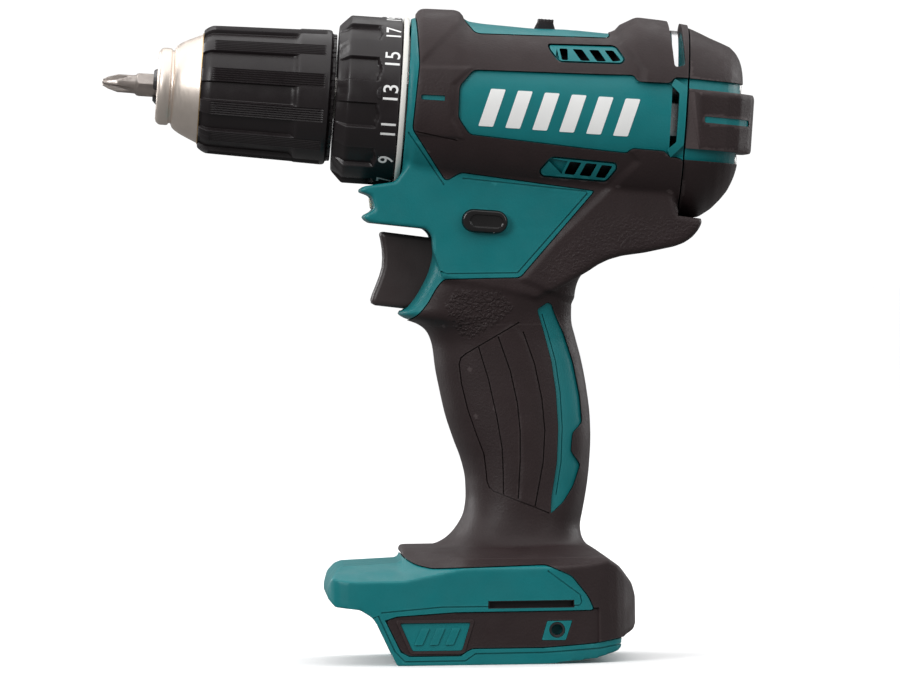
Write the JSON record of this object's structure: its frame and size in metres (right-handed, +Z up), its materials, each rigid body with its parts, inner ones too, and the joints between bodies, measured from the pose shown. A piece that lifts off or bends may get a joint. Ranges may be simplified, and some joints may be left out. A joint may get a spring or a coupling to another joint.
{
  "type": "cordless drill driver",
  "caption": "Pistol-grip drill driver without its battery: keyless chuck holding a screwdriver bit, torque ring, planetary gearbox, motor, trigger and a slide-on battery shoe.",
  "frame": {"origin": "on the supporting surface under the middle of the drill's bounding box", "axes": "+Z up with the drill standing on its battery shoe, -X along the nose, +Y towards the drill's right side; the working axis leans 4.6 degrees nose-up"},
  "size_m": [0.1877, 0.076, 0.1881],
  "materials": {
    "teal_plastic": "satin moulded nylon",
    "dark_grip": "matte soft grip",
    "black_plastic": "matte",
    "white_plastic": "satin",
    "nose_metal": "satin, warm tinted",
    "steel": "bright",
    "zinc_screw": "zinc plated",
    "grey_plastic": "glass-filled nylon",
    "copper": "copper windings",
    "bronze": "sintered bronze",
    "magnet": "ferrite",
    "carbon": "carbon",
    "clear_lens": "clear"
  },
  "bodies": {
    "drill": {"housing_left": "teal_plastic", "housing_right": "teal_plastic", "grip_left": "dark_grip", "grip_right": "dark_grip", "rear_cover": "teal_plastic", "trim_ring": "white_plastic", "gear_case": "grey_plastic", "spindle_bearing": "bronze", "clutch_plate": "steel", "first_ring_gear": "steel", "third_ring_gear": "steel", "motor_can": "steel", "motor_magnet_1": "magnet", "motor_magnet_2": "magnet", "brush_holder": "grey_plastic", "carbon_brush_1": "carbon", "carbon_brush_2": "carbon", "switch_unit": "black_plastic", "lamp_lens": "clear_lens", "terminal_block": "black_plastic", "clutch_spring": "steel", "trigger_spring": "steel", "rear_cover_screw_1": "zinc_screw", "rear_cover_screw_2": "zinc_screw", "housing_screw_1": "zinc_screw", "housing_screw_2": "zinc_screw", "housing_screw_3": "zinc_screw", "housing_screw_4": "zinc_screw", "housing_screw_5": "zinc_screw"},
    "armature": {"armature": "copper", "commutator": "copper", "motor_fan": "grey_plastic", "motor_pinion": "steel"},
    "first_carrier": {"first_carrier": "steel"},
    "second_carrier": {"second_carrier": "steel"},
    "spindle": {"spindle": "steel", "chuck_body": "steel", "chuck_nose": "nose_metal", "chuck_screw": "zinc_screw"},
    "sleeve": {"chuck_sleeve": "black_plastic", "jaw_nut": "steel"},
    "bit": {"screwdriver_bit": "steel"},
    "torque_ring": {"torque_ring": "black_plastic"},
    "clutch_nut": {"clutch_nut": "grey_plastic"},
    "selector": {"speed_selector": "black_plastic", "second_ring_gear": "steel"},
    "trigger": {"trigger": "black_plastic"},
    "direction_button": {"direction_button": "black_plastic"},
    "jaw_1": {"chuck_jaw_1": "steel"},
    "jaw_2": {"chuck_jaw_2": "steel"},
    "jaw_3": {"chuck_jaw_3": "steel"},
    "first_planet_1": {"first_planet_1": "steel"},
    "first_planet_2": {"first_planet_2": "steel"},
    "first_planet_3": {"first_planet_3": "steel"},
    "second_planet_1": {"second_planet_1": "steel"},
    "second_planet_2": {"second_planet_2": "steel"},
    "second_planet_3": {"second_planet_3": "steel"},
    "third_planet_1": {"third_planet_1": "steel"},
    "third_planet_2": {"third_planet_2": "steel"},
    "third_planet_3": {"third_planet_3": "steel"}
  },
  "joints": [
    {"name": "armature_spin", "type": "hinge", "parent": "drill", "child": "armature", "pos_m": [0.05981, 0, 0.15569], "axis": [-0.9968, 0, 0.0802], "continuous": true},
    {"name": "first_carrier_spin", "type": "hinge", "parent": "drill", "child": "first_carrier", "pos_m": [0.03558, 0, 0.15764], "axis": [-0.9968, 0, 0.0802], "continuous": true},
    {"name": "first_planet_1_spin", "type": "hinge", "parent": "first_carrier", "child": "first_planet_1", "pos_m": [0.03646, 0, 0.16852], "axis": [-0.9968, 0, 0.0802], "continuous": true},
    {"name": "first_planet_2_spin", "type": "hinge", "parent": "first_carrier", "child": "first_planet_2", "pos_m": [0.03515, 0.00946, 0.15219], "axis": [-0.9968, 0, 0.0802], "continuous": true},
    {"name": "first_planet_3_spin", "type": "hinge", "parent": "first_carrier", "child": "first_planet_3", "pos_m": [0.03515, -0.00946, 0.15219], "axis": [-0.9968, 0, 0.0802], "continuous": true},
    {"name": "second_carrier_spin", "type": "hinge", "parent": "drill", "child": "second_carrier", "pos_m": [0.02522, 0, 0.15847], "axis": [-0.9968, 0, 0.0802], "continuous": true},
    {"name": "second_planet_1_spin", "type": "hinge", "parent": "second_carrier", "child": "second_planet_1", "pos_m": [0.02609, 0, 0.16936], "axis": [-0.9968, 0, 0.0802], "continuous": true},
    {"name": "second_planet_2_spin", "type": "hinge", "parent": "second_carrier", "child": "second_planet_2", "pos_m": [0.02478, 0.00946, 0.15303], "axis": [-0.9968, 0, 0.0802], "continuous": true},
    {"name": "second_planet_3_spin", "type": "hinge", "parent": "second_carrier", "child": "second_planet_3", "pos_m": [0.02478, -0.00946, 0.15303], "axis": [-0.9968, 0, 0.0802], "continuous": true},
    {"name": "spindle_spin", "type": "hinge", "parent": "drill", "child": "spindle", "pos_m": [0.01396, 0, 0.15938], "axis": [-0.9968, 0, 0.0802], "continuous": true},
    {"name": "third_planet_1_spin", "type": "hinge", "parent": "spindle", "child": "third_planet_1", "pos_m": [0.01483, 0, 0.17026], "axis": [-0.9968, 0, 0.0802], "continuous": true},
    {"name": "third_planet_2_spin", "type": "hinge", "parent": "spindle", "child": "third_planet_2", "pos_m": [0.01352, 0.00946, 0.15393], "axis": [-0.9968, 0, 0.0802], "continuous": true},
    {"name": "third_planet_3_spin", "type": "hinge", "parent": "spindle", "child": "third_planet_3", "pos_m": [0.01352, -0.00946, 0.15393], "axis": [-0.9968, 0, 0.0802], "continuous": true},
    {"name": "sleeve_turn", "type": "hinge", "parent": "spindle", "child": "sleeve", "pos_m": [-0.04685, 0, 0.16427], "axis": [-0.9968, 0, 0.0802], "range_deg": [0, 1800]},
    {"name": "jaw_1_slide", "type": "slide", "parent": "spindle", "child": "jaw_1", "axis": [0.9833, 0.1801, 0.0252], "range_m": [0, 0.0087]},
    {"name": "jaw_2_slide", "type": "slide", "parent": "spindle", "child": "jaw_2", "axis": [0.9583, 0, -0.2857], "range_m": [0, 0.0087]},
    {"name": "jaw_3_slide", "type": "slide", "parent": "spindle", "child": "jaw_3", "axis": [0.9833, -0.1801, 0.0252], "range_m": [0, 0.0087]},
    {"name": "bit_slide", "type": "slide", "parent": "spindle", "child": "bit", "axis": [-0.9968, 0, 0.0802], "range_m": [0, 0.045]},
    {"name": "torque_ring_turn", "type": "hinge", "parent": "drill", "child": "torque_ring", "pos_m": [-0.01695, 0, 0.16186], "axis": [-0.9968, 0, 0.0802], "range_deg": [-24, 244]},
    {"name": "clutch_nut_slide", "type": "slide", "parent": "drill", "child": "clutch_nut", "axis": [-0.9968, 0, 0.0802], "range_m": [-0.0006, 0.0045], "deforming": ["clutch_spring"]},
    {"name": "selector_slide", "type": "slide", "parent": "drill", "child": "selector", "axis": [0.9968, 0, -0.0802], "range_m": [0, 0.005]},
    {"name": "trigger_slide", "type": "slide", "parent": "drill", "child": "trigger", "axis": [1, 0, 0], "range_m": [0, 0.0065], "stiffness_N_per_m": 900, "springref_m": -0.003, "deforming": ["trigger_spring"]},
    {"name": "direction_slide", "type": "slide", "parent": "drill", "child": "direction_button", "axis": [0, 1, 0], "range_m": [-0.0025, 0.0025]}
  ],
  "couplings": [
    {"joint": "first_carrier_spin", "follows": "armature_spin", "ratio": 0.28571},
    {"joint": "first_planet_1_spin", "follows": "armature_spin", "ratio": -0.95238},
    {"joint": "first_planet_2_spin", "follows": "armature_spin", "ratio": -0.95238},
    {"joint": "first_planet_3_spin", "follows": "armature_spin", "ratio": -0.95238},
    {"joint": "second_carrier_spin", "follows": "armature_spin", "ratio": 0.081633},
    {"joint": "second_planet_1_spin", "follows": "armature_spin", "ratio": -0.27211},
    {"joint": "second_planet_2_spin", "follows": "armature_spin", "ratio": -0.27211},
    {"joint": "second_planet_3_spin", "follows": "armature_spin", "ratio": -0.27211},
    {"joint": "spindle_spin", "follows": "armature_spin", "ratio": 0.023324},
    {"joint": "third_planet_1_spin", "follows": "armature_spin", "ratio": -0.077745},
    {"joint": "third_planet_2_spin", "follows": "armature_spin", "ratio": -0.077745},
    {"joint": "third_planet_3_spin", "follows": "armature_spin", "ratio": -0.077745},
    {"joint": "jaw_1_slide", "follows": "sleeve_turn", "m_per_rad": 0.00027693},
    {"joint": "jaw_2_slide", "follows": "sleeve_turn", "m_per_rad": 0.00027693},
    {"joint": "jaw_3_slide", "follows": "sleeve_turn", "m_per_rad": 0.00027693},
    {"joint": "clutch_nut_slide", "follows": "torque_ring_turn", "m_per_rad": 0.00096206}
  ]
}
